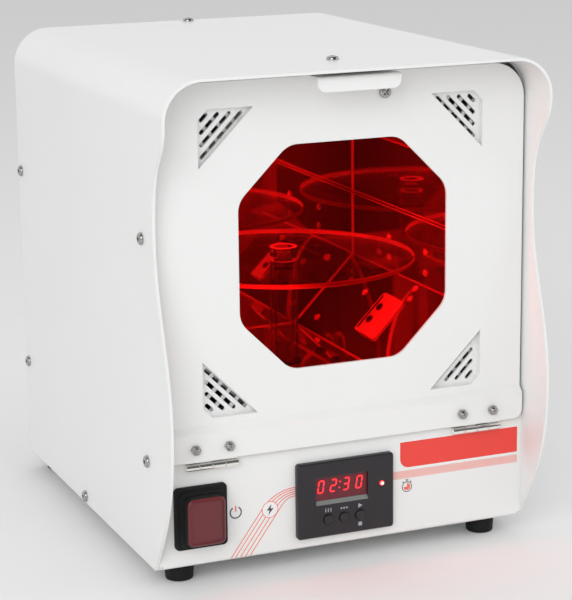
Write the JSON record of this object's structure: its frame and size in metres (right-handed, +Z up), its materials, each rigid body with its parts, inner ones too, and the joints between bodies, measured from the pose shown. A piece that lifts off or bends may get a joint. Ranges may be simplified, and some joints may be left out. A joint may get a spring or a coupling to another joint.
{
  "type": "dental light curing unit",
  "caption": "Bench-top dental lab light curing unit: white sheet case, front door with red window that folds down, mirrored turntable chamber, switch and timer panel.",
  "frame": {"origin": "on the standing plane under the middle of the outer box", "axes": "+Z up, -Y towards the user at the door side, +X to the user's right"},
  "size_m": [0.2524, 0.3, 0.3122],
  "materials": {
    "white_paint": "satin powder coat",
    "bare_steel": "satin",
    "mirror": "polished",
    "screw_steel": "bright zinc plated",
    "hinge_steel": "polished stainless",
    "black_rubber": "matt",
    "black_plastic": "fine grain",
    "key": "satin",
    "red_cap": "soft translucent",
    "red_rocker": "gloss, lit from inside",
    "display": "lit red digits behind a tinted face",
    "red_lamp": "gloss",
    "red_pane": "clear polished tinted acrylic",
    "clear_acrylic": "clear polished acrylic",
    "lens": "clear domed",
    "module": "satin",
    "board": "solder mask",
    "heat_sink": "extruded",
    "brass": "tinned"
  },
  "bodies": {
    "case": {"outer_cover": "white_paint", "chassis_tray": "white_paint", "front_bulkhead": "bare_steel", "rear_panel": "white_paint", "feet": "black_rubber", "foot_screws": "screw_steel", "cover_screws": "screw_steel", "chamber_lower_liner": "mirror", "chamber_upper_liner": "mirror", "chamber_back": "mirror", "chamber_floor_screws": "screw_steel", "lamp_boards": "board", "lamp_heat_sinks": "heat_sink", "lamp_lenses": "lens", "lamp_modules": "module", "lamp_module_screws": "screw_steel", "turntable_motor": "bare_steel", "magnet_catch": "black_plastic", "door_sensor": "black_plastic", "hinge_case_leaves": "hinge_steel", "hinge_pins": "hinge_steel", "hinge_screws": "screw_steel", "hinge_nuts": "screw_steel", "switch_bezel": "black_rubber", "switch_cap": "red_cap", "switch_body": "black_plastic", "switch_terminals": "brass", "switch_pin": "bare_steel", "timer_bezel": "black_plastic", "timer_display": "display", "timer_lamp": "red_lamp", "timer_board": "board", "timer_key_switches": "black_plastic", "fan_housing": "black_plastic", "fan_guard": "screw_steel", "fan_screws": "screw_steel", "mains_inlet": "black_plastic", "inlet_pins": "brass", "fuse_drawer": "black_plastic", "power_supply": "bare_steel", "driver_board": "board"},
    "door": {"door_panel": "white_paint", "door_window": "red_pane", "door_inner_plate": "mirror", "door_handle": "white_paint", "door_strike": "screw_steel", "strike_screw": "screw_steel", "hinge_door_leaves": "hinge_steel", "hinge_bolts": "screw_steel", "acorn_nuts": "screw_steel"},
    "switch_rocker": {"switch_rocker": "red_rocker"},
    "key_left": {"timer_key_left": "key"},
    "key_middle": {"timer_key_middle": "key"},
    "key_right": {"timer_key_right": "key"},
    "turntable": {"turntable_disc": "clear_acrylic", "turntable_pillar": "clear_acrylic", "turntable_hub": "bare_steel", "turntable_shaft": "bare_steel", "turntable_cup": "clear_acrylic"},
    "fan_rotor": {"fan_rotor": "black_plastic"}
  },
  "joints": [
    {"name": "door_hinge", "type": "hinge", "parent": "case", "child": "door", "pos_m": [0, -0.12155, 0.07565], "axis": [1, 0, 0], "range_deg": [0, 100]},
    {"name": "rocker_tilt", "type": "hinge", "parent": "case", "child": "switch_rocker", "pos_m": [-0.0957, -0.116, 0.0442], "axis": [1, 0, 0], "range_deg": [-20, 0]},
    {"name": "key_left_press", "type": "slide", "parent": "case", "child": "key_left", "axis": [0, 1, 0], "range_m": [0, 0.0008], "stiffness_N_per_m": 500},
    {"name": "key_middle_press", "type": "slide", "parent": "case", "child": "key_middle", "axis": [0, 1, 0], "range_m": [0, 0.0008], "stiffness_N_per_m": 500},
    {"name": "key_right_press", "type": "slide", "parent": "case", "child": "key_right", "axis": [0, 1, 0], "range_m": [0, 0.0008], "stiffness_N_per_m": 500},
    {"name": "turntable_spin", "type": "hinge", "parent": "case", "child": "turntable", "pos_m": [0, -0.024, 0.106], "axis": [0, 0, 1], "continuous": true},
    {"name": "fan_spin", "type": "hinge", "parent": "case", "child": "fan_rotor", "pos_m": [0, 0.109, 0.195], "axis": [0, 1, 0], "continuous": true}
  ]
}
